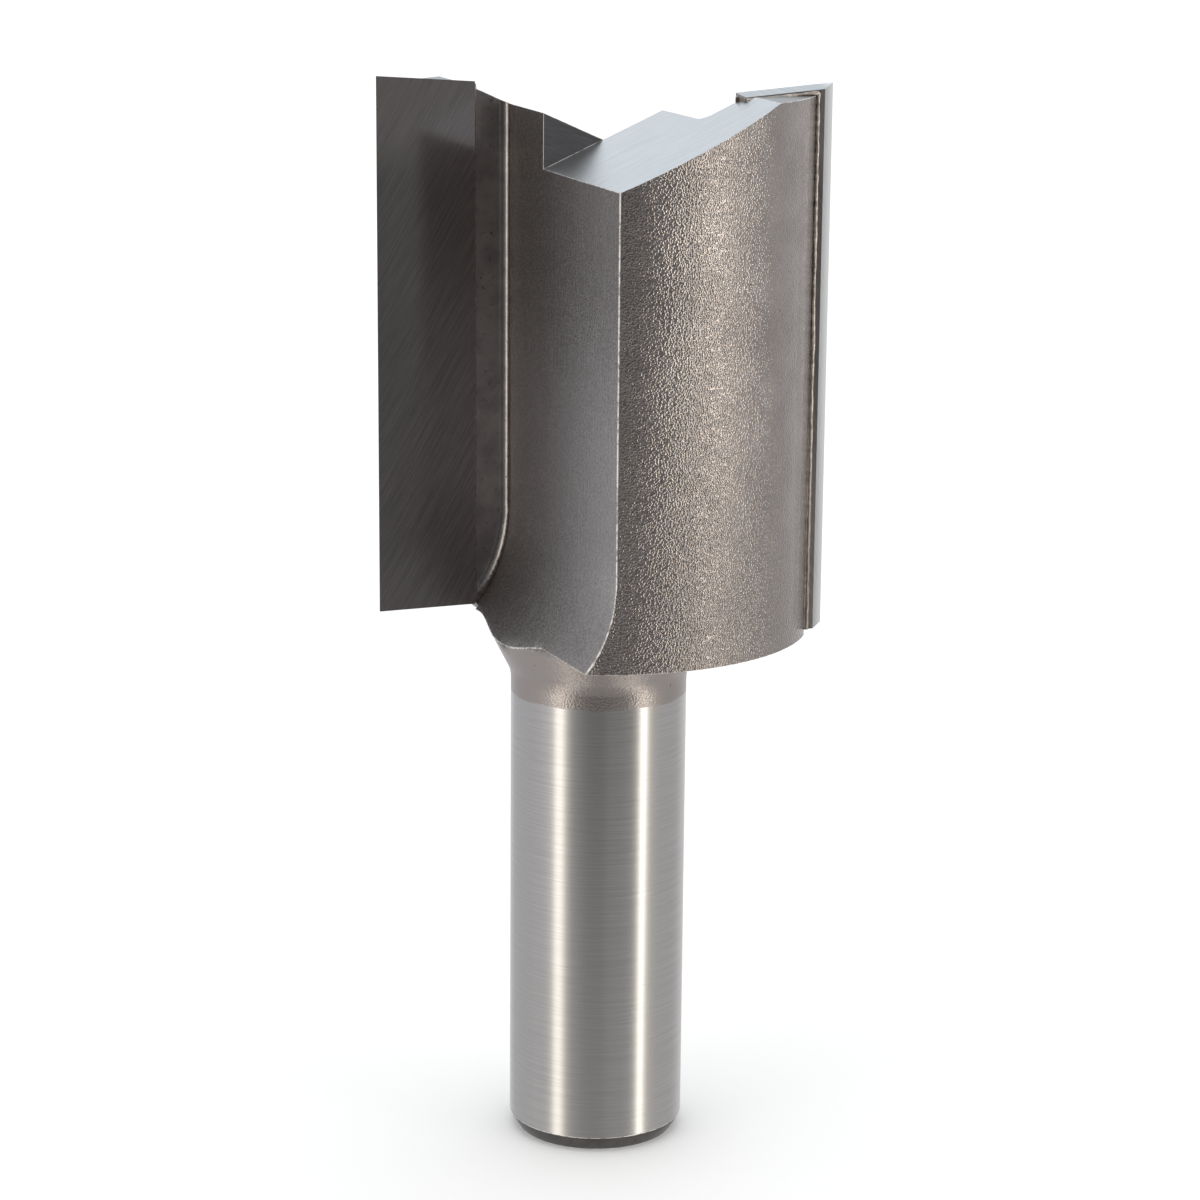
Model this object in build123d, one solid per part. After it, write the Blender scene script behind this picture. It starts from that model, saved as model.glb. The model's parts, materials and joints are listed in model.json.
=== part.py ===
from build123d import *
from math import cos, radians, sin, sqrt, tan
import os

# Two-flute straight router bit with brazed carbide tips.
# Millimetres. +Z runs along the axis from the shank end to the cutting end, the origin is the
# centre of the shank end face, and +X points from the axis to the cutting edge of tip 1.
# It cuts when it turns counter-clockwise seen from the cutting end.

# Whole cutter
OVERALL_LENGTH = 77.1           # shank end face to the highest point of the tips
CUTTING_DIAMETER = 31.75        # circle that the two cutting edges sweep

# Shank and neck
SHANK_DIAMETER = 12.7
FOOT_CHAMFER_HEIGHT = 1.1
FOOT_CHAMFER_WIDTH = 0.65
NECK_HEIGHT = 3.45              # cone that widens from the shank to the underside of the head
NECK_FLARE_ANGLE = 27.4         # side of that cone against the axis
NECK_LOWER_RADIUS = 2.2         # blend from the shank into the cone
NECK_UPPER_RADIUS = 1.7         # blend from the cone into the underside of the head

# Carbide tip
TIP_LENGTH = 38.4
TIP_WIDTH = 7.3                 # across the rake face
TIP_THICKNESS = 1.7
HOOK_ANGLE = 24.5               # rake face against the radius through the cutting edge
OUTER_RELIEF_ANGLE = 14.5       # ground land behind the cutting edge, against the tangent
END_DISH_ANGLE = 4.2            # top edge falls towards the axis
END_RELIEF_ANGLE = 6.0          # top edge falls towards the back of the tip

# Head
TIP_STAND_OUT = 0.925           # cutting edge beyond the round of the head
TIP_UNDERSIDE_LIFT = 0.4        # lower end of the tip above the underside of the head
TOP_FLAT_DROP = 0.7             # flat top of each wing below the highest point

# Chip flute, cut by an end mill that stands on the floor of the flute
WEB_THICKNESS = 8.72            # metal between the walls of the two flutes
FLOOR_DROP = 0.73               # flute floor behind the rake face
FLUTE_MILL_DIAMETER = 22.2
FLUTE_MILL_LEAN = 3.3           # the mill leans towards the shank as it comes off the floor
FLUTE_CORNER_RADIUS = 0.8
RUN_OUT_RISE = 7.5              # last centre of the mill above the underside of the head

# End gash, one sloping cut for each wing, which meet in a step through the axis
GASH_CENTRE_DROP = 4.18         # cuts meet on the axis this far below the highest point
GASH_SLOPE = 24.1
GASH_SIDE_FALL = 1.1            # each cut also falls away from its upright side
GASH_TURN = 21.8                # direction in which the cut of wing 1 rises, from +X

# Brazed joint
BRAZE_GAP = 0.15                # filler between the tip and its pocket
BEAD_WIDTH = 0.3                # bead up the back of the tip, beside the round of the head
BEAD_HEIGHT = 0.3               # bead up the back of the tip, above the top of the head
BEAD_SET_BACK = 0.05            # beads end this far short of the ground faces of the tip
FLOOR_BEAD_WIDTH = 0.2          # bead along the tip's inner side, on the floor of the flute

# Worked out from the sizes above
shank_radius = SHANK_DIAMETER / 2
cutting_radius = CUTTING_DIAMETER / 2
head_radius = cutting_radius - TIP_STAND_OUT
tip_bottom = OVERALL_LENGTH - TIP_LENGTH
underside = tip_bottom - TIP_UNDERSIDE_LIFT
top_flat = OVERALL_LENGTH - TOP_FLAT_DROP
gash_centre = OVERALL_LENGTH - GASH_CENTRE_DROP
mill_radius = FLUTE_MILL_DIAMETER / 2
clear_of_head = CUTTING_DIAMETER        # any length that leaves the head on every side

# Frame of wing 1: u runs outward along the rake face and v is the way the rake face looks
hook = radians(HOOK_ANGLE)
outward = Vector(cos(hook), sin(hook), 0)
facing = Vector(-sin(hook), cos(hook), 0)
wing = Plane(origin=(0, 0, 0), x_dir=outward, z_dir=(0, 0, 1))
u_edge = cutting_radius * cos(hook)
v_rake = -cutting_radius * sin(hook)
u_inner = u_edge - TIP_WIDTH
v_back = v_rake - TIP_THICKNESS
v_floor = v_rake - FLOOR_DROP
u_pocket = u_inner - BRAZE_GAP
v_pocket = v_back - BRAZE_GAP


def half_turn(shape):
    """The same shape for the other wing."""
    return shape.rotate(Axis.Z, 180)


def wing_prism(points, low, high):
    """Upright prism on an outline given by u and v."""
    outline = Plane(wing.from_local_coords((0, 0, low)), x_dir=outward, z_dir=(0, 0, 1))
    return extrude(outline * make_face(Polyline(*points, close=True)), high - low)


def turned_blank():
    """Shank, flared neck and plain round head, turned from one bar."""
    neck_foot = (shank_radius, underside - NECK_HEIGHT)
    neck_top = (shank_radius + NECK_HEIGHT * tan(radians(NECK_FLARE_ANGLE)), underside)
    corners = [
        (0, 0),
        (shank_radius - FOOT_CHAMFER_WIDTH, 0),
        (shank_radius, FOOT_CHAMFER_HEIGHT),
        neck_foot,
        neck_top,
        (head_radius, underside),
        (head_radius, top_flat),
        (0, top_flat),
    ]
    section = make_face(Polyline(*corners, close=True))
    for corner, blend in ((neck_foot, NECK_LOWER_RADIUS), (neck_top, NECK_UPPER_RADIUS)):
        section = fillet(section.vertices().sort_by_distance(corner)[0], blend)
    return revolve(Plane.XZ * section, Axis.Z)


def chip_flute():
    """Path of the end mill for wing 1: straight along the wall, then out through the underside."""
    travel = OVERALL_LENGTH - underside
    u_mill = WEB_THICKNESS / 2 + mill_radius
    first_centre = underside + RUN_OUT_RISE
    floor = Plane(wing.from_local_coords((0, v_floor, 0)), x_dir=outward, z_dir=-facing)
    path = SlotCenterToCenter(travel, FLUTE_MILL_DIAMETER, rotation=90)
    path = Pos(u_mill, first_centre + travel / 2) * path
    lean = radians(FLUTE_MILL_LEAN)
    mill_axis = facing * cos(lean) - Vector(0, 0, 1) * sin(lean)
    flute = extrude(floor * path, clear_of_head, dir=mill_axis)
    floor_edges = flute.edges().group_by(Axis((0, 0, 0), facing))[0]
    return fillet(floor_edges, FLUTE_CORNER_RADIUS)


def end_gash(lift=0.0):
    """Sloping cut over wing 1. Its upright side is a plane through the axis."""
    beside = (Align.CENTER, Align.MAX, Align.CENTER)
    block = Pos(0, 0, gash_centre) * Box(2 * clear_of_head, clear_of_head, 2 * clear_of_head, align=beside)
    rise, side_fall = tan(radians(GASH_SLOPE)), tan(radians(GASH_SIDE_FALL))
    floor = Plane((0, 0, gash_centre + lift), z_dir=(-rise, -side_fall, 1))
    return Rot(0, 0, GASH_TURN) * split(block, bisect_by=floor, keep=Keep.TOP)


def tip_pocket():
    """Seat of tip 1, open to the flute, to the round of the head and at both ends."""
    outer = clear_of_head
    front = v_floor + FLUTE_CORNER_RADIUS
    corners = [(u_pocket, v_pocket), (outer, v_pocket), (outer, front), (u_pocket, front)]
    return wing_prism(corners, underside, OVERALL_LENGTH)


def steel_body():
    body = turned_blank()
    for cut in (chip_flute(), tip_pocket(), end_gash()):
        body = body - cut - half_turn(cut)
    return body


def tip_top_plane(drop=0.0):
    """Ground top of tip 1, through the top corner of the cutting edge."""
    corner = wing.from_local_coords((u_edge, v_rake, OVERALL_LENGTH - drop))
    dish, relief = tan(radians(END_DISH_ANGLE)), tan(radians(END_RELIEF_ANGLE))
    return Plane(corner, z_dir=Vector(0, 0, 1) - outward * dish - facing * relief)


def carbide_tip():
    """Tip 1: flat rake face, ground land behind the edge, ground top."""
    relief = radians(OUTER_RELIEF_ANGLE)
    u_land = u_edge - TIP_THICKNESS * tan(relief + hook)
    outline = [(u_inner, v_rake), (u_edge, v_rake), (u_land, v_back), (u_inner, v_back)]
    blank = wing_prism(outline, tip_bottom, OVERALL_LENGTH + TIP_THICKNESS)
    return split(blank, bisect_by=tip_top_plane(), keep=Keep.BOTTOM)


def on_round(v):
    """u at which the round of the head has this v."""
    return sqrt(head_radius**2 - v**2)


def braze_joint():
    """Filler behind tip 1 and at its inner side, with a bead round the sides of the tip."""
    outline = [
        (u_pocket, v_pocket),
        (on_round(v_pocket), v_pocket),
        (on_round(v_back) + BEAD_WIDTH, v_back),
        (u_inner, v_back),
        (u_inner, v_rake - BEAD_SET_BACK),
        (u_pocket - FLOOR_BEAD_WIDTH, v_floor),
        (u_pocket, v_floor),
    ]
    joint = wing_prism(outline, tip_bottom, top_flat + BEAD_HEIGHT) - end_gash(BEAD_HEIGHT)
    bead_foot = wing.from_local_coords((0, v_pocket, top_flat))
    bead_normal = Vector(0, 0, BRAZE_GAP) - facing * BEAD_HEIGHT
    joint = split(joint, bisect_by=Plane(bead_foot, z_dir=bead_normal), keep=Keep.BOTTOM)
    return split(joint, bisect_by=tip_top_plane(BEAD_SET_BACK), keep=Keep.BOTTOM)


body = steel_body()
tip = carbide_tip()
joint = braze_joint() - body
nodes = {
    "steel_body": body,
    "carbide_tip_1": tip,
    "carbide_tip_2": half_turn(tip),
    "braze_joint_1": joint,
    "braze_joint_2": half_turn(joint),
}

os.makedirs("parts", exist_ok=True)
for name, shape in nodes.items():
    export_step(shape, f"parts/{name}.step")
    print(name, round(shape.volume, 2), "mm3")
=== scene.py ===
import bmesh
import bpy
import json
from math import cos, degrees, hypot, pi, radians, sin
from mathutils import Matrix, Vector
from mathutils import noise as mathutils_noise


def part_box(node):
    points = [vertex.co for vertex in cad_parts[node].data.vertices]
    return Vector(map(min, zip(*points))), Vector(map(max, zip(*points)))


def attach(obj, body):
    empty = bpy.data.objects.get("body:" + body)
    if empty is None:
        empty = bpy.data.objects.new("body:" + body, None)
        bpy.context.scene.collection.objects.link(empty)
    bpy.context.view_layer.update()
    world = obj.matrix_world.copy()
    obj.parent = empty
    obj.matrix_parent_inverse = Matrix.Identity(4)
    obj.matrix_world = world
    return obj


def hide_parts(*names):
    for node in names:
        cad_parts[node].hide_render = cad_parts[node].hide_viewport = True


# A straight router bit, dressed for its portrait: ground shank, blasted head, milled flutes,
# ground carbide tips and the beads of braze that hold them. Lengths are in metres, apart
# from those of the lens.

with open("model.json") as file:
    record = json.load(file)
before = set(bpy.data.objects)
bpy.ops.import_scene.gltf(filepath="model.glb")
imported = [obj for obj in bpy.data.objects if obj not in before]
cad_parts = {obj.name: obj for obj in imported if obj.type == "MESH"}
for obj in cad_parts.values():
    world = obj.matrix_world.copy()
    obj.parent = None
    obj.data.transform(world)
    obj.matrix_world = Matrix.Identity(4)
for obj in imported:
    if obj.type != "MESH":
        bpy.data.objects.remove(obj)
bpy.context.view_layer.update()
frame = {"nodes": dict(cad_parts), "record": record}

MM = 0.001
MICROMETRE = MM / 1000
UP = (0, 0, 1)
TOLERANCE = 0.05 * MM           # between lengths that count as the same
body_node = frame["nodes"]["steel_body"]
tip_nodes = [frame["nodes"]["carbide_tip_1"], frame["nodes"]["carbide_tip_2"]]
braze_nodes = [frame["nodes"]["braze_joint_1"], frame["nodes"]["braze_joint_2"]]
mounts = {mount["name"]: mount for mount in frame["record"]["mounts"]}


def rake_frame(tip):
    """Outward and facing directions of a tip's rake face, from its largest flat face."""
    rake = max(tip.data.polygons, key=lambda polygon: polygon.area)
    facing = rake.normal.copy()
    centre = sum((v.co for v in tip.data.vertices), Vector()) / len(tip.data.vertices)
    turning = Vector((-centre.y, centre.x, 0))
    if facing.dot(turning) < 0:
        facing.negate()
    outward = facing.cross(Vector(UP))
    return outward.normalized(), facing.normalized()


# Sizes read from the frame
shank_wall = mounts["shank"]["dims"]["length_mm"] * MM
shank_low = mounts["shank"]["pos_m"][2] - shank_wall / 2
neck_start = mounts["shank"]["pos_m"][2] + shank_wall / 2
tip_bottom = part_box("carbide_tip_1")[0].z
body_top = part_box("steel_body")[1].z
head_radius = max(hypot(v.co.x, v.co.y) for v in body_node.data.vertices)
outward, facing = rake_frame(tip_nodes[0])
cutting_reach = max(v.co.dot(outward) for v in tip_nodes[0].data.vertices)


def above_tips(*rises):
    """Heights that lie these millimetres above the lower ends of the tips."""
    return [tip_bottom + rise * MM for rise in rises]


# Where the body changes from one finish to the next
NECK_LINE = neck_start - 0.9 * MM
NECK_TOP = tip_bottom - 0.4 * MM
NECK_FADE = (NECK_TOP - 1.2 * MM, NECK_TOP)
GASH_LOW = body_top - 12 * MM
STEP_REACH = 5.2 * MM           # from the axis

# Camera that matches the photograph: where it stands round the bit, and how it is turned
CAMERA_DISTANCE = 237.36 * MM
CAMERA_HEIGHT = 98.0 * MM
CAMERA_TURN = radians(3.215)
CAMERA_YAW = radians(0.013)
CAMERA_PITCH = radians(13.749)
CAMERA_ROLL = radians(0.487)
CAMERA_CLIP = 10 * MM
FOCAL_LENGTH = 101.93           # this one and the next in millimetres
SENSOR_WIDTH = 36.0

# Tones of the studio. A fade runs between two shares of a direction, along the way named.
WHITE = (1, 1, 1, 1)
CEILING_BEHIND = (0.98, 1.05, 1.12, 1)
CEILING_BEFORE = (0.6, 0.61, 0.62, 1)
CEILING_START = (0.08, 0.3)     # upwards, where the ring gives way to what is above it
CEILING_FADE = (0.45, 0.86)     # away from the camera
RING_FADE = (0.1, 0.8)          # upwards, above the camera's side of the ring
NEUTRAL = (1, 1, 1)
WARM = (1.0, 0.95, 0.86)
COOL = (0.985, 1.0, 1.03)
RING = [                        # degrees round the bit (0 right, 90 behind), level and tint
    (-175, 0.62, NEUTRAL),
    (-160, 0.56, NEUTRAL),
    (-151, 0.68, WARM),
    (-146, 2.65, WARM),
    (-138, 2.65, WARM),
    (-132, 0.65, WARM),
    (-122, 0.27, NEUTRAL),
    (-100, 0.1, NEUTRAL),
    (-84, 0.09, NEUTRAL),
    (-72, 0.23, NEUTRAL),
    (-60, 0.25, NEUTRAL),
    (-47, 0.22, NEUTRAL),
    (-34.5, 0.36, WARM),
    (-29.5, 4.5, WARM),
    (-26.5, 4.5, WARM),
    (-21.5, 0.62, WARM),
    (0, 0.54, NEUTRAL),
    (30, 0.54, NEUTRAL),
    (60, 0.76, NEUTRAL),
    (90, 1.0, NEUTRAL),
    (112, 0.8, COOL),
    (128, 0.62, COOL),
    (150, 0.6, COOL),
]
CARDS = [                       # degrees round, tone, and fade upwards into the ring
    (-65, (0.12, 0.12, 0.12, 1), (-0.24, -0.1)),
    (-158, (0.9, 0.9, 0.93, 1), (-0.25, -0.13)),
]
CARD_FADE = (0.93, 0.985)       # towards the card's middle
TABLE_TONE = (0.54, 0.535, 0.53, 1)
TABLE_FADE = (-0.36, -0.22)     # upwards into the ring
TABLE_SHARE = 0.3               # over the whole ring
TABLE_LIFT = 0.45               # in the ring's shade only
TABLE_LIGHT = 1.6               # watts per square metre
TABLE_LIGHT_SPREAD = radians(100)
TABLE_REACH = 4.0               # half its width
TABLE_PAPER = (0.9, 0.895, 0.89, 1)
TABLE_GLOW = 0.06


# Camera, table and light


def add_camera():
    camera = bpy.data.cameras.new("camera")
    camera.sensor_width = SENSOR_WIDTH
    camera.lens = FOCAL_LENGTH
    camera.clip_start = CAMERA_CLIP
    place = Matrix.Rotation(CAMERA_TURN, 4, "Z") @ Vector((0, -CAMERA_DISTANCE, CAMERA_HEIGHT))
    level = Matrix.Rotation(CAMERA_TURN - CAMERA_YAW, 4, "Z")
    tilt = Matrix.Rotation(pi / 2 - CAMERA_PITCH, 4, "X")
    roll = Matrix.Rotation(CAMERA_ROLL, 4, "Z")
    camera_object = bpy.data.objects.new("camera", camera)
    camera_object.matrix_world = Matrix.Translation(place) @ level @ tilt @ roll
    bpy.context.scene.collection.objects.link(camera_object)
    bpy.context.scene.camera = camera_object


# Places of a mix node's colour sockets, which share their names with its other sockets
MIX_FACTOR = 0
MIX_A = 6
MIX_B = 7
MIX_RESULT = 2


class Graph:
    """Builds a node tree: each call adds one node and fills its inputs."""

    def __init__(self, tree):
        self.tree = tree
        tree.nodes.clear()

    def add(self, kind, inputs=None, **settings):
        node = self.tree.nodes.new(kind)
        for name, value in settings.items():
            setattr(node, name, value)
        for name, value in (inputs or {}).items():
            self.fill(node.inputs[name], value)
        return node

    def fill(self, socket, value):
        if isinstance(value, bpy.types.NodeSocket):
            self.tree.links.new(value, socket)
        else:
            socket.default_value = value

    def math(self, operation, *values):
        node = self.add("ShaderNodeMath", operation=operation)
        for index, value in enumerate(values):
            self.fill(node.inputs[index], value)
        return node.outputs[0]

    def ramp(self, factor, stops):
        """Colour ramp through stops, each a position and a colour, eased from one to the next."""
        node = self.add("ShaderNodeValToRGB", {"Fac": factor})
        node.color_ramp.interpolation = "EASE"
        elements = node.color_ramp.elements
        while len(elements) < len(stops):
            elements.new(0.5)
        for element, (position, colour) in zip(elements, sorted(stops)):
            element.position = position
            element.color = (*colour, 1)
        return node.outputs["Color"]

    def axes(self, vector):
        return self.add("ShaderNodeSeparateXYZ", {"Vector": vector}).outputs

    def along(self, vector, axis):
        """Share of a vector that runs along this axis."""
        inputs = {0: vector, 1: tuple(axis)}
        return self.add("ShaderNodeVectorMath", inputs, operation="DOT_PRODUCT").outputs["Value"]

    def smooth(self, value, low, high, to_low=0.0, to_high=1.0):
        """Eased step from one level to the other, while the value goes from low to high."""
        inputs = {"Value": value, "From Min": low, "From Max": high,
                  "To Min": to_low, "To Max": to_high}
        node = self.add("ShaderNodeMapRange", inputs, interpolation_type="SMOOTHSTEP")
        return node.outputs["Result"]

    def mix(self, factor, a, b, blend="MIX"):
        inputs = {MIX_FACTOR: factor, MIX_A: a, MIX_B: b}
        node = self.add("ShaderNodeMix", inputs, data_type="RGBA", blend_type=blend)
        return node.outputs[MIX_RESULT]

    def mix_shaders(self, factor, a, b):
        return self.add("ShaderNodeMixShader", {0: factor, 1: a, 2: b}).outputs[0]


def ring_stop(azimuth, level, tint):
    """Place on the colour ramp and colour of one tone of the ring."""
    row_angle = azimuth + degrees(CAMERA_TURN)
    position = ((row_angle + 180) % 360) / 360
    return position, tuple(level * channel for channel in tint)


def add_world():
    """A pale studio: a ring of light and shade round the bit, under a cool bright ceiling."""
    world = bpy.data.worlds.new("studio")
    bpy.context.scene.world = world
    world.use_nodes = True
    graph = Graph(world.node_tree)
    direction = graph.add("ShaderNodeTexCoord").outputs["Generated"]
    axes = graph.axes(direction)
    height = axes["Z"]
    turn = graph.math("ARCTAN2", axes["Y"], axes["X"])
    share = graph.math("ADD", graph.math("DIVIDE", turn, 2 * pi), 0.5)
    ring = graph.ramp(share, [ring_stop(*row) for row in RING])
    for azimuth, tone, reach in CARDS:
        towards = Matrix.Rotation(radians(azimuth) + CAMERA_TURN, 3, "Z") @ Vector((1, 0, 0))
        beside = graph.smooth(graph.along(direction, towards), *CARD_FADE)
        low = graph.smooth(height, *reach, to_low=1.0, to_high=0.0)
        ring = graph.mix(graph.math("MULTIPLY", beside, low), ring, tone)
    for share_below, blend in ((TABLE_SHARE, "MIX"), (TABLE_LIFT, "LIGHTEN")):
        below = graph.smooth(height, *TABLE_FADE, to_low=share_below, to_high=0.0)
        ring = graph.mix(below, ring, TABLE_TONE, blend)
    away = graph.along(direction, (-sin(CAMERA_TURN), cos(CAMERA_TURN), 0))
    above = graph.mix(graph.smooth(height, *RING_FADE), ring, CEILING_BEFORE)
    ceiling = graph.mix(graph.smooth(away, *CEILING_FADE), above, CEILING_BEHIND)
    studio = graph.mix(graph.smooth(height, *CEILING_START), ring, ceiling)
    lit = graph.add("ShaderNodeBackground", {"Color": studio, "Strength": 1.0}).outputs[0]
    plain = graph.add("ShaderNodeBackground", {"Color": WHITE, "Strength": 1.0}).outputs[0]
    camera_ray = graph.add("ShaderNodeLightPath").outputs["Is Camera Ray"]
    graph.add("ShaderNodeOutputWorld", {"Surface": graph.mix_shaders(camera_ray, lit, plain)})


def add_floor():
    """White table under the bit, seen and shaded but not mirrored."""
    sides = ((-1, -1), (1, -1), (1, 1), (-1, 1))
    mesh = bpy.data.meshes.new("floor")
    mesh.from_pydata([(x * TABLE_REACH, y * TABLE_REACH, 0) for x, y in sides], [], [(0, 1, 2, 3)])
    floor = bpy.data.objects.new("floor", mesh)
    bpy.context.scene.collection.objects.link(floor)
    material = bpy.data.materials.new("white_table")
    material.use_nodes = True
    graph = Graph(material.node_tree)
    paper = graph.add("ShaderNodeBsdfDiffuse", {"Color": TABLE_PAPER}).outputs[0]
    glow = graph.add("ShaderNodeEmission", {"Color": WHITE, "Strength": TABLE_GLOW}).outputs[0]
    finish(graph, graph.add("ShaderNodeAddShader", {0: paper, 1: glow}).outputs[0])
    mesh.materials.append(material)
    floor.visible_glossy = False
    floor.visible_shadow = False
    floor.visible_diffuse = False


def add_floor_light():
    """Wide soft light from above that only the table takes up."""
    sun = bpy.data.lights.new("table_light", "SUN")
    sun.energy = TABLE_LIGHT
    sun.angle = TABLE_LIGHT_SPREAD
    lamp = bpy.data.objects.new("table_light", sun)
    lamp.visible_glossy = False
    bpy.context.scene.collection.objects.link(lamp)


# Materials. A pair of colours runs from a finish's dark marks to its pale ones.

SKIN = ((0.375, 0.339, 0.325, 1), (0.455, 0.412, 0.395, 1))
SKIN_PITS = (0.2, 0.175, 0.165, 1)
SHANK = ((0.53, 0.52, 0.516, 1), (0.585, 0.574, 0.57, 1))
FOOT = ((0.07, 0.066, 0.063, 1), (0.15, 0.143, 0.14, 1))
FLUTE_WALL = ((0.36, 0.33, 0.318, 1), (0.73, 0.7, 0.71, 1))
FLUTE_FLOOR = ((0.27, 0.25, 0.25, 1), (0.37, 0.342, 0.335, 1))
FLUTE_PITS = (0.14, 0.13, 0.13, 1)
GASH = ((0.48, 0.49, 0.498, 1), (0.76, 0.77, 0.778, 1))
WING_TOP = ((0.22, 0.216, 0.213, 1), (0.32, 0.315, 0.31, 1))
STEP = ((0.145, 0.142, 0.149, 1), (0.31, 0.305, 0.318, 1))
# edge colour: pale worn steel, and partly a painted highlight along the broken edges
EDGE = ((0.45, 0.43, 0.41, 1), (0.95, 0.93, 0.9, 1))
RAKE = ((0.195, 0.18, 0.181, 1), (0.42, 0.388, 0.385, 1))
LAND = ((0.32, 0.327, 0.325, 1), (0.42, 0.428, 0.425, 1))
# painted highlight: colour of the land at its cutting edge
LAND_PAINTED_HIGHLIGHT = (0.7, 0.708, 0.706, 1)
CLEAN_FILLER = ((0.27, 0.235, 0.21, 1), (0.46, 0.41, 0.37, 1))
DARK_FILLER = ((0.02, 0.017, 0.015, 1), (0.12, 0.105, 0.095, 1))
BEAD = ((0.46, 0.4, 0.355, 1), (0.9, 0.83, 0.76, 1))

# Levels of a noise between which a finish goes from one colour to the other
SOFT = (0.3, 0.7)
CRISP = (0.35, 0.65)
SPECKS = (0.38, 0.62)
NICKS = (0.36, 0.56)
DEEP_PITS = (0.77, 0.81)
SHALLOW_PITS = (0.62, 0.7)

GRAIN = 0.155 * MM              # across a dimple of the blasted skin
GRAIN_DEPTH = 20 * MICROMETRE
FINER_GRAIN = 0.6               # shares of the size and height of the dimples
FINER_HEIGHT = 0.7
LOW_GRAIN = 1.3                 # shares of the grain's depth, low on the head and on the neck
NECK_GRAIN = 0.3
DIMPLE_WALL = (0.2, 0.85)       # shares of a dimple's radius, from its floor to its rim
SKIN_ROUGHNESS = 0.08
NECK_ROUGHNESS = 0.3
SKIN_PATCH = 3.5 * MM
SKIN_PIT = 0.4 * MM
# painted shade: over these heights the skin's paler patches fade out downwards, so the head is
# darker low down
SKIN_PAINTED_SHADE_FADE = above_tips(1.3, 15.3)
GRAIN_FADE = above_tips(-0.7, 33.3)
NECK_PALENESS = 0.85            # share of the way to the skin's paler colour
SHANK_RINGS = 0.11 * MM
SHANK_RING_SWEEP = 1.2          # marks a radian
LINE_WANDER = 0.4 * MM          # of the line between shank and neck
LINE_WAVE = 2.0 * MM            # length of its waves
LINE_WIDTH = 0.12 * MM
# painted light on the flute wall: paler below the first span, and less so again over the second,
# near the foot
WALL_PAINTED_LIGHT_TOP = above_tips(13.3, 27.3)
WALL_PAINTED_LIGHT_FOOT = above_tips(0.3, 7.3)
CORNER_TURN = (0.1, 0.3)        # share of a normal along the rake's, from the wall to its corner
SCRATCH_WIDTH = 0.28 * MM       # on the carbide
SCRATCH_LENGTH = 9.0 * MM
SCRATCH_SLANT = 1.7
# painted light on the rake: paler over the first span, which also smooths it, and paler still over
# the second, at its top
RAKE_RISE = above_tips(7.3, 21.3)
RAKE_PAINTED_LIGHT_TOP = above_tips(30.3, 35.3)
ON_RAKE = (0.7, 0.8)            # share of a normal along the rake's, from land to rake
# width of the painted highlight along the land's cutting edge
LAND_HIGHLIGHT_BAND = 1.4 * MM
DARK_FILLER_RISE = above_tips(7.3, 25.3)
DARK_FILLER_REACH = (10.5 * MM, 11.5 * MM)    # along the rake face, from the axis
GOLD_RISE = above_tips(3.3, 19.3)


def new_material(name):
    """Empty material, its node graph and the place on the object that the graph works from."""
    material = bpy.data.materials.new(name)
    material.use_nodes = True
    graph = Graph(material.node_tree)
    return material, graph, graph.add("ShaderNodeTexCoord").outputs["Object"]


def metal(graph, colour, relief, roughness, depth):
    """Metal shader with a relief of this depth."""
    bump = graph.add("ShaderNodeBump", {"Height": relief, "Distance": depth, "Strength": 1.0})
    inputs = {"Base Color": colour, "Metallic": 1.0, "Roughness": roughness}
    inputs["Normal"] = bump.outputs["Normal"]
    return graph.add("ShaderNodeBsdfPrincipled", inputs).outputs[0]


def finish(graph, shader):
    graph.add("ShaderNodeOutputMaterial", {"Surface": shader})


def noise(graph, place, size, detail=2.0, roughness=0.5):
    """Noise with features of about this size."""
    inputs = {"Vector": place, "Scale": 1 / size, "Detail": detail, "Roughness": roughness}
    return graph.add("ShaderNodeTexNoise", inputs).outputs["Fac"]


def streaks(graph, detail=3.0, **shares):
    """Noise in a space whose axes are already counted in features."""
    place = graph.add("ShaderNodeCombineXYZ", shares).outputs[0]
    return noise(graph, place, 1.0, detail, roughness=0.6)


def stretched(graph, position, *axes_and_sizes):
    """Noise stretched along directions: each axis comes with its own feature size."""
    shares = {}
    for name, (axis, size) in zip("XYZ", axes_and_sizes):
        shares[name] = graph.math("DIVIDE", graph.along(position, axis), size)
    return streaks(graph, **shares)


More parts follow.
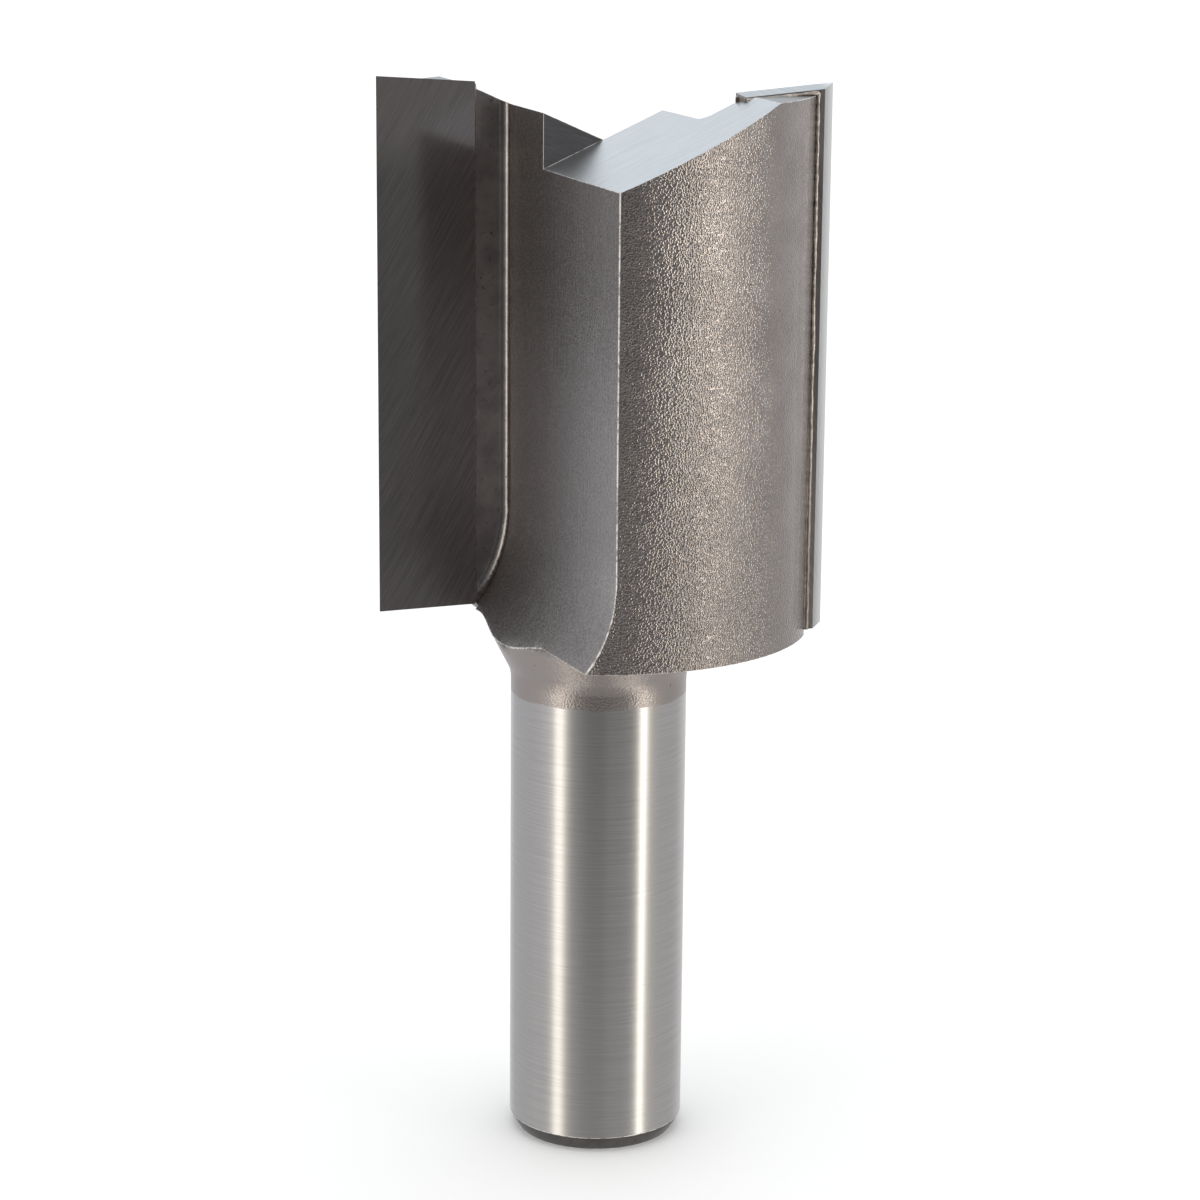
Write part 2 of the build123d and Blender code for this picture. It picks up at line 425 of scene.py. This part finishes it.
def blasted(graph, position, height):
    """Blasted skin: close dimples that sparkle, in a warm grey with paler patches that fade out
    low on the head as painted shade, but calm and satin on the neck.
    """
    inputs = {"Vector": position, "Scale": 1 / GRAIN, "Randomness": 1.0}
    cells = graph.add("ShaderNodeTexVoronoi", inputs).outputs["Distance"]
    grain = graph.math("MULTIPLY", noise(graph, position, FINER_GRAIN * GRAIN), FINER_HEIGHT)
    relief = graph.math("ADD", graph.smooth(cells, *DIMPLE_WALL), grain)
    patches = graph.smooth(noise(graph, position, SKIN_PATCH, detail=3.0, roughness=0.6), *SOFT)
    # painted shade: the patches vanish low on the head and darken it there
    patches_over_painted_low_shade = graph.math("MULTIPLY", patches, graph.smooth(height, *SKIN_PAINTED_SHADE_FADE))
    on_neck = graph.smooth(height, *NECK_FADE, to_low=NECK_PALENESS, to_high=0.0)
    paler = graph.math("ADD", patches_over_painted_low_shade, on_neck)
    pits = graph.smooth(noise(graph, position, SKIN_PIT, detail=1.0), *DEEP_PITS)
    colour = graph.mix(pits, graph.mix(paler, *SKIN), SKIN_PITS)
    coarser = graph.smooth(height, *GRAIN_FADE, to_low=LOW_GRAIN, to_high=1.0)
    calmer = graph.smooth(height, *NECK_FADE, to_low=NECK_GRAIN, to_high=1.0)
    relief = graph.math("MULTIPLY", relief, graph.math("MULTIPLY", coarser, calmer))
    roughness = graph.smooth(height, *NECK_FADE, to_low=NECK_ROUGHNESS, to_high=SKIN_ROUGHNESS)
    return metal(graph, colour, relief, roughness=roughness, depth=GRAIN_DEPTH)


def ground(graph, position):
    """Steel ground round and round: fine rings that fade in and out."""
    axes = graph.axes(position)
    sweep = graph.math("MULTIPLY", graph.math("ARCTAN2", axes["Y"], axes["X"]), SHANK_RING_SWEEP)
    rings = streaks(graph, detail=2.0, X=sweep, Z=graph.math("DIVIDE", axes["Z"], SHANK_RINGS))
    colour = graph.mix(graph.smooth(rings, *SOFT), *SHANK)
    return metal(graph, colour, rings, roughness=0.23, depth=2.6 * MICROMETRE)


def turned_steel():
    """Ground shank below the neck line and blasted skin above it."""
    material, graph, position = new_material("turned_steel")
    height = graph.axes(position)["Z"]
    wander = graph.math("SUBTRACT", noise(graph, position, LINE_WAVE), 0.5)
    level = graph.math("ADD", height, graph.math("MULTIPLY", wander, LINE_WANDER))
    above_line = graph.smooth(level, NECK_LINE - LINE_WIDTH / 2, NECK_LINE + LINE_WIDTH / 2)
    shank, skin = ground(graph, position), blasted(graph, position, height)
    finish(graph, graph.mix_shaders(above_line, shank, skin))
    return material


def foot_steel():
    """Turned chamfer at the shank's end, darker than the ground shank."""
    material, graph, position = new_material("foot_steel")
    marks = noise(graph, position, 0.5 * MM, detail=3.0)
    colour = graph.mix(marks, *FOOT)
    finish(graph, metal(graph, colour, marks, roughness=0.42, depth=10 * MICROMETRE))
    return material


def flank_milled(graph, position, height):
    """Wall of the flute: hair lines left by the flank of the end mill, painted paler low down as
    painted light, and less so again at its foot.
    """
    lines = stretched(graph, position, (facing, 0.08 * MM), (outward, 6.0 * MM), (UP, 7.0 * MM))
    specks = noise(graph, position, 0.16 * MM, detail=3.0, roughness=0.65)
    # painted light: the wall is painted paler low down, and less so again at its foot
    below_top = graph.smooth(height, *WALL_PAINTED_LIGHT_TOP, to_low=0.6, to_high=0.0)
    above_foot = graph.smooth(height, *WALL_PAINTED_LIGHT_FOOT, to_low=0.2, to_high=1.0)
    painted_wall_light = graph.math("MULTIPLY", below_top, above_foot)
    speckled = graph.smooth(specks, *SPECKS, to_low=-0.06, to_high=0.46)
    colour = graph.mix(graph.math("ADD", painted_wall_light, speckled), *FLUTE_WALL)
    relief = graph.math("ADD", lines, specks)
    return metal(graph, colour, relief, roughness=0.36, depth=24 * MICROMETRE)


def end_milled(graph, position):
    """Floor of the flute and its corner, smoothed by the end of the mill."""
    stains = noise(graph, position, 1.6 * MM, detail=3.0, roughness=0.6)
    pits = noise(graph, position, 0.3 * MM, detail=3.0, roughness=0.6)
    stained = graph.mix(graph.smooth(stains, *SOFT), *FLUTE_FLOOR)
    colour = graph.mix(graph.smooth(pits, *SHALLOW_PITS), stained, FLUTE_PITS)
    return metal(graph, colour, pits, roughness=0.24, depth=8 * MICROMETRE)


def milled_steel():
    """The whole flute: its wall blends into the corner where the surface turns to the floor."""
    material, graph, position = new_material("milled_steel")
    normal = graph.add("ShaderNodeNewGeometry").outputs["Normal"]
    turned = graph.smooth(graph.math("ABSOLUTE", graph.along(normal, facing)), *CORNER_TURN)
    wall = flank_milled(graph, position, graph.axes(position)["Z"])
    finish(graph, graph.mix_shaders(turned, wall, end_milled(graph, position)))
    return material


def wheel_ground(name, colours):
    """Steel ground straight across by a wheel."""
    material, graph, position = new_material(name)
    scratches = stretched(graph, position, (facing, 0.2 * MM), (outward, 3.0 * MM), (UP, 3.0 * MM))
    colour = graph.mix(scratches, *colours)
    finish(graph, metal(graph, colour, scratches, roughness=0.33, depth=15 * MICROMETRE))
    return material


def gash_steel():
    """Pale faces of the end gash."""
    return wheel_ground("gash_steel", GASH)


def top_steel():
    """Duller flat tops of the wings."""
    return wheel_ground("top_steel", WING_TOP)


def step_steel():
    """Upright side of the gash, left rough by the corner of the wheel."""
    material, graph, position = new_material("step_steel")
    across, along, through = (0.3, 0, 0.95), (0.95, 0, -0.3), (0, 1, 0)
    scratches = stretched(graph, position,
                          (across, 0.12 * MM), (along, 1.5 * MM), (through, 1.0 * MM))
    colour = graph.mix(scratches, *STEP)
    finish(graph, metal(graph, colour, scratches, roughness=0.38, depth=10 * MICROMETRE))
    return material


def edge_steel():
    """Worn edges with small nicks, their bright colour partly a painted highlight."""
    material, graph, position = new_material("edge_steel")
    nicks = noise(graph, position, 0.45 * MM, detail=3.0, roughness=0.6)
    colour = graph.mix(graph.smooth(nicks, *NICKS), *EDGE)
    finish(graph, metal(graph, colour, nicks, roughness=0.45, depth=20 * MICROMETRE))
    return material


def carbide():
    """Ground carbide: slanting hair lines up the rake face, which is painted paler upwards as
    painted light, and a land painted paler towards its cutting edge as a painted highlight.
    """
    material, graph, position = new_material("ground_carbide")
    reach = graph.math("ABSOLUTE", graph.along(position, outward))
    height = graph.axes(position)["Z"]
    across = graph.math("ADD", height, graph.math("MULTIPLY", reach, SCRATCH_SLANT))
    along = graph.math("SUBTRACT", reach, graph.math("MULTIPLY", height, SCRATCH_SLANT))
    scratches = streaks(graph, X=graph.math("DIVIDE", across, SCRATCH_WIDTH),
                        Y=graph.math("DIVIDE", along, SCRATCH_LENGTH))
    # painted light: the rake grows paler upwards, and paler still along its top
    painted_rake_light = graph.math("ADD", graph.smooth(height, *RAKE_RISE, to_high=0.17),
                        graph.smooth(height, *RAKE_PAINTED_LIGHT_TOP, to_high=0.5))
    paler = graph.math("ADD", painted_rake_light, graph.smooth(scratches, *SOFT, to_high=0.35))
    land = graph.mix(graph.smooth(scratches, *SOFT), *LAND)
    # painted highlight: the land grows paler towards its cutting edge
    painted_land_highlight = graph.smooth(reach, cutting_reach - LAND_HIGHLIGHT_BAND, cutting_reach)
    land = graph.mix(painted_land_highlight, land, LAND_PAINTED_HIGHLIGHT)
    normal = graph.add("ShaderNodeNewGeometry").outputs["True Normal"]
    on_rake = graph.smooth(graph.math("ABSOLUTE", graph.along(normal, facing)), *ON_RAKE)
    colour = graph.mix(on_rake, land, graph.mix(paler, *RAKE))
    roughness = graph.smooth(height, *RAKE_RISE, to_low=0.26, to_high=0.12)
    finish(graph, metal(graph, colour, scratches, roughness=roughness, depth=1.4 * MICROMETRE))
    return material


def braze():
    """Filler in the joint: dull brown and lumpy, turning darker high up the back of the tip."""
    material, graph, position = new_material("braze_filler")
    lumps = graph.smooth(noise(graph, position, 0.3 * MM, detail=3.0), *CRISP)
    reach = graph.math("ABSOLUTE", graph.along(position, outward))
    at_back = graph.smooth(reach, *DARK_FILLER_REACH)
    high_up = graph.smooth(graph.axes(position)["Z"], *DARK_FILLER_RISE, to_low=0.15)
    # the filler turns near black towards the back of the tip and higher up
    clean, darkened = graph.mix(lumps, *CLEAN_FILLER), graph.mix(lumps, *DARK_FILLER)
    colour = graph.mix(graph.math("MULTIPLY", at_back, high_up), clean, darkened)
    finish(graph, metal(graph, colour, lumps, roughness=0.5, depth=25 * MICROMETRE))
    return material


def braze_run():
    """Bead of solidified silver braze, tarnished to a pale gold that dulls downwards."""
    material, graph, position = new_material("braze_bead")
    lumps = graph.smooth(noise(graph, position, 0.4 * MM, detail=3.0), *SOFT)
    high_up = graph.smooth(graph.axes(position)["Z"], *GOLD_RISE, to_low=0.1)
    colour = graph.mix(graph.math("MULTIPLY", lumps, high_up), *BEAD)
    finish(graph, metal(graph, colour, lumps, roughness=0.38, depth=20 * MICROMETRE))
    return material


# Steel body

MERGE_DISTANCE = 0.0001 * MM
FLAT_ANGLE = radians(0.4)       # faces that meet flatter than this become one
SHARP_ANGLE = radians(22)       # edges from this angle on are broken
EDGE_BREAK = 0.09 * MM          # at its fullest
EDGE_SEGMENTS = 2
EDGE_WEAR = {                   # share of the full break, by the two finishes that meet there
    ("milled", "turned"): 1.0,
    ("gash", "turned"): 0.25,
}
OTHER_EDGE_WEAR = 0.36
TURNED_MOST_UP = 0.01           # this and the next three are shares of a face's normal
ROUND_LEAST_OUT = 0.9
GASH_LEAST_UP = 0.5
TOP_LEAST_UP = 0.99
FINISHES = {
    "turned": turned_steel,
    "foot": foot_steel,
    "milled": milled_steel,
    "gash": gash_steel,
    "top": top_steel,
    "step": step_steel,
    "edge": edge_steel,
}


def zone(face):
    """Which finish a face of the body has, from where it lies and which way it faces."""
    radii = [hypot(v.co.x, v.co.y) for v in face.verts]
    heights = [v.co.z for v in face.verts]
    radial = face.calc_center_median()
    radial.z = 0
    facing_out = face.normal.dot(radial.normalized())
    if max(heights) < shank_low + TOLERANCE:
        return "foot"
    if max(heights) < tip_bottom and face.normal.z < TURNED_MOST_UP:
        return "turned"
    if min(radii) > head_radius - TOLERANCE and facing_out > ROUND_LEAST_OUT:
        return "turned"
    if min(heights) > GASH_LOW and face.normal.z > GASH_LEAST_UP:
        return "top" if face.normal.z > TOP_LEAST_UP else "gash"
    if min(heights) > GASH_LOW and max(radii) < STEP_REACH:
        return "step"
    return "milled"


def dress_body():
    """Stand-in for the steel body: its own mesh with broken edges and a finish for each face."""
    mesh = bpy.data.meshes.new("bit_body")
    work = bmesh.new()
    work.from_mesh(body_node.data)
    bmesh.ops.remove_doubles(work, verts=work.verts, dist=MERGE_DISTANCE)
    bmesh.ops.dissolve_limit(work, angle_limit=FLAT_ANGLE, verts=work.verts, edges=work.edges)
    finishes = list(FINISHES)
    for face in work.faces:
        face.material_index = finishes.index(zone(face))
        face.smooth = True
    weights = work.edges.layers.float.new("bevel_weight_edge")
    for edge in work.edges:
        edge.smooth = edge.calc_face_angle(0) < SHARP_ANGLE
        sides = tuple(sorted({finishes[face.material_index] for face in edge.link_faces}))
        edge[weights] = 0 if edge.smooth else EDGE_WEAR.get(sides, OTHER_EDGE_WEAR)
    work.to_mesh(mesh)
    work.free()
    body = bpy.data.objects.new("bit_body", mesh)
    bpy.context.scene.collection.objects.link(body)
    for make_material in FINISHES.values():
        mesh.materials.append(make_material())
    bevel = body.modifiers.new("edge_break", "BEVEL")
    bevel.width = EDGE_BREAK
    bevel.segments = EDGE_SEGMENTS
    bevel.use_clamp_overlap = False
    bevel.limit_method = "WEIGHT"
    bevel.material = finishes.index("edge")
    normals = body.modifiers.new("normals", "WEIGHTED_NORMAL")
    normals.keep_sharp = False
    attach(body, "root")
    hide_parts("steel_body")


# Braze beads

BEAD_SIDES = 10
BEAD_STEP = 0.1 * MM
BEAD_RADIUS = 0.14 * MM
BEAD_INSET = 0.2 * MM           # from the outer corner of the joint
BEAD_SINK = 0.06 * MM
BEAD_LUMPS = 0.7 * MM           # length of a lump
BEAD_SWELL = 0.35               # shares of the radius: how far a lump swells and sways
BEAD_SWAY = 0.3
INNER_SHARE = 0.75              # of the joint's reach, where its inner corners end


def wing_coordinates(point, turn):
    """Distances of a point along the rake face, off it and up the bit, for a wing at this turn."""
    own = Matrix.Rotation(-turn, 3, "Z") @ point
    return own.dot(outward), own.dot(facing), own.z


def back_bead_path(joint, turn):
    """Runs up the back of the tip beside the round of the head, then in along its top."""
    corners = [wing_coordinates(v.co, turn) for v in joint.data.vertices]
    reach = max(u for u, v, z in corners)
    outer = [corner for corner in corners if corner[0] > reach - TOLERANCE]
    low, high = min(outer, key=lambda c: c[2]), max(outer, key=lambda c: c[2])
    back = [corner for corner in corners if abs(corner[1] - low[1]) < TOLERANCE]
    inner = max((corner for corner in back if corner[0] < INNER_SHARE * reach), key=lambda c: c[2])
    outer_u, outer_v = low[0] - BEAD_INSET, low[1] - BEAD_SINK
    top, inner_top = high[2] - BEAD_RADIUS, inner[2] - BEAD_RADIUS
    return [(outer_u, outer_v, low[2]), (outer_u, outer_v, top), (inner[0], outer_v, inner_top)]


def bead_rings(places, off_rake):
    """Rings of points round a lumpy run of braze from place to place."""
    angles = [2 * pi * index / BEAD_SIDES for index in range(BEAD_SIDES)]
    rings = []
    for start, end in zip(places, places[1:]):
        along = (end - start).normalized()
        side = along.cross(off_rake).normalized()
        lift = side.cross(along)
        count = int((end - start).length / BEAD_STEP)
        for step in range(count + 1):
            centre = start.lerp(end, step / count)
            lump = mathutils_noise.noise(centre / BEAD_LUMPS)
            radius = BEAD_RADIUS * (1 + BEAD_SWELL * lump)
            sway = mathutils_noise.noise(centre / BEAD_LUMPS / 2)
            centre = centre + side * BEAD_RADIUS * BEAD_SWAY * sway
            rings.append([centre + (side * cos(a) + lift * sin(a)) * radius for a in angles])
    return rings


def add_bead(name, points, turn, material):
    """Lumpy round run of braze through these points of a wing, closed at both ends."""
    spin = Matrix.Rotation(turn, 3, "Z")
    places = [spin @ (outward * u + facing * v + Vector((0, 0, z))) for u, v, z in points]
    rings = bead_rings(places, spin @ facing)
    faces = []
    for ring in range(len(rings) - 1):
        low, high = ring * BEAD_SIDES, (ring + 1) * BEAD_SIDES
        for index in range(BEAD_SIDES):
            after = (index + 1) % BEAD_SIDES
            faces.append((low + index, low + after, high + after, high + index))
    last = (len(rings) - 1) * BEAD_SIDES
    faces.append(tuple(range(BEAD_SIDES))[::-1])
    faces.append(tuple(range(last, last + BEAD_SIDES)))
    mesh = bpy.data.meshes.new(name)
    mesh.from_pydata([point for ring in rings for point in ring], [], faces)
    for polygon in mesh.polygons:
        polygon.use_smooth = True
    mesh.materials.append(material)
    bead = bpy.data.objects.new(name, mesh)
    bpy.context.scene.collection.objects.link(bead)
    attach(bead, "root")


def dress_node(node, material):
    node.data.materials.clear()
    node.data.materials.append(material)


add_camera()
add_world()
add_floor()
add_floor_light()
dress_body()
carbide_material = carbide()
for tip in tip_nodes:
    dress_node(tip, carbide_material)
filler_material = braze()
bead_material = braze_run()
for number, (joint, turn) in enumerate(zip(braze_nodes, (0, pi)), 1):
    dress_node(joint, filler_material)
    add_bead(f"braze_bead_{number}", back_bead_path(joint, turn), turn, bead_material)

bpy.context.scene.view_settings.view_transform = "Standard"
